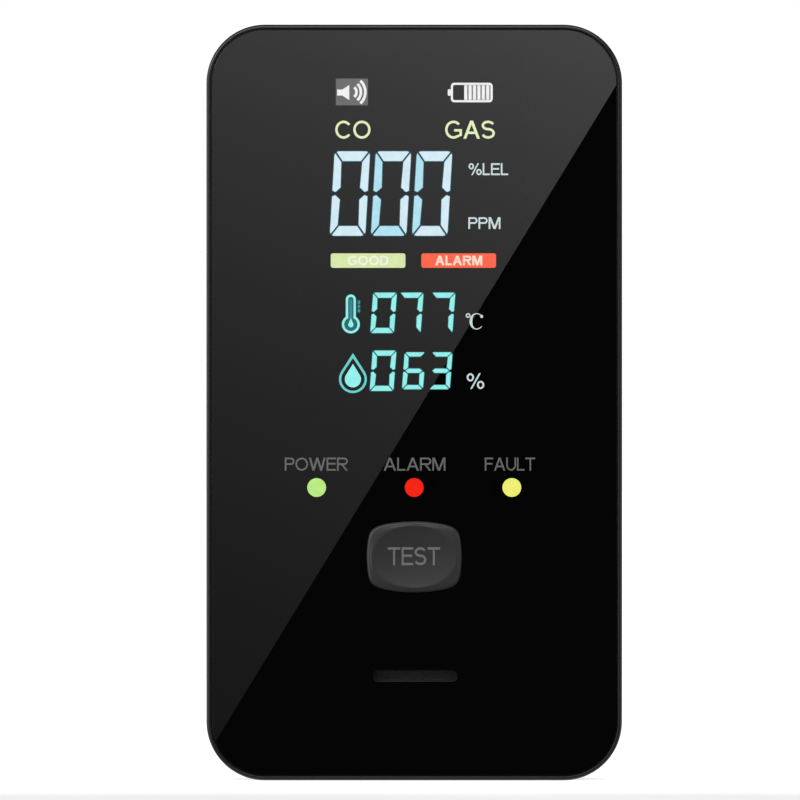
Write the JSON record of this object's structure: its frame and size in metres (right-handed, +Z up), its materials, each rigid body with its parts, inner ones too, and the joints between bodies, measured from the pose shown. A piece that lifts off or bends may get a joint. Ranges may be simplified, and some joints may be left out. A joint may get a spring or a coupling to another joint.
{
  "type": "household gas alarm",
  "caption": "Slim upright gas alarm with a glossy black front, a tall numeric display, three status lights, a test button and a sounder slot.",
  "frame": {"origin": "middle of the flat bottom that the alarm stands on", "axes": "+Z up along the height, +X to the right seen from the front, the display faces -Y"},
  "size_m": [0.066, 0.024, 0.12],
  "materials": {
    "housing_plastic": "black ABS, smooth with a satin gloss",
    "lens_acrylic": "high-gloss smoked acrylic, black over the mask",
    "mask_ink": "black printed film",
    "button_plastic": "black ABS with a fine satin texture",
    "green_light": "diffusing clear plastic lit green",
    "red_light": "diffusing clear plastic lit red",
    "yellow_light": "diffusing clear plastic lit yellow",
    "led_package": "white reflector with a clear dome",
    "display_glass": "polarised display glass, black where a segment is off",
    "white_plastic": "white moulded plastic",
    "black_foam": "closed-cell foam",
    "amber_film": "polyimide flex",
    "black_moulding": "black glass-filled plastic",
    "steel": "plated steel",
    "brass": "thin brass disc",
    "mesh_felt": "woven acoustic mesh, dark grey",
    "filter_cloth": "non-woven dust filter",
    "board": "green solder mask",
    "cell_foil": "laminated pouch foil",
    "red_wire": "red insulation",
    "black_wire": "black insulation",
    "label_film": "blank silver-grey label film"
  },
  "bodies": {
    "root": {"front_frame": "housing_plastic", "back_cover": "housing_plastic", "front_lens": "lens_acrylic", "lens_mask": "mask_ink", "power_light_pipe": "green_light", "alarm_light_pipe": "red_light", "fault_light_pipe": "yellow_light", "power_led": "led_package", "alarm_led": "led_package", "fault_led": "led_package", "lcd_front_glass": "display_glass", "lcd_rear_glass": "display_glass", "lcd_backlight": "white_plastic", "lcd_holder": "white_plastic", "lcd_connector": "white_plastic", "battery_plug": "white_plastic", "battery_socket": "white_plastic", "co_sensor": "white_plastic", "lcd_gasket": "black_foam", "sounder_gasket": "black_foam", "battery_pad": "black_foam", "lcd_flex_cable": "amber_film", "tact_switch_body": "black_moulding", "sounder_case": "black_moulding", "gas_sensor_base": "black_moulding", "microcontroller": "black_moulding", "charger_chip": "black_moulding", "boost_inductor": "black_moulding", "usb_c_tongue": "black_moulding", "tact_switch_cover": "steel", "tact_switch_dome": "steel", "usb_c_shell": "steel", "gas_sensor_can": "steel", "humidity_sensor": "steel", "cover_screw_1": "steel", "cover_screw_2": "steel", "cover_screw_3": "steel", "cover_screw_4": "steel", "sounder_diaphragm": "brass", "sounder_mesh": "mesh_felt", "sensor_dust_filter": "filter_cloth", "main_pcb": "board", "battery_cell": "cell_foil", "battery_lead_positive": "red_wire", "battery_lead_negative": "black_wire", "rating_label": "label_film"},
    "test_button_body": {"test_button": "button_plastic"},
    "switch_plunger_body": {"tact_switch_plunger": "black_moulding"}
  },
  "joints": [
    {"name": "test_button_press", "type": "slide", "parent": "root", "child": "test_button_body", "axis": [0, 1, 0], "range_m": [0, 0.0005], "stiffness_N_per_m": 2000, "springref_m": -0.0003},
    {"name": "switch_press", "type": "slide", "parent": "root", "child": "switch_plunger_body", "axis": [0, 1, 0], "range_m": [0, 0.0005]}
  ],
  "couplings": [
    {"joint": "switch_press", "follows": "test_button_press", "ratio": 1}
  ]
}
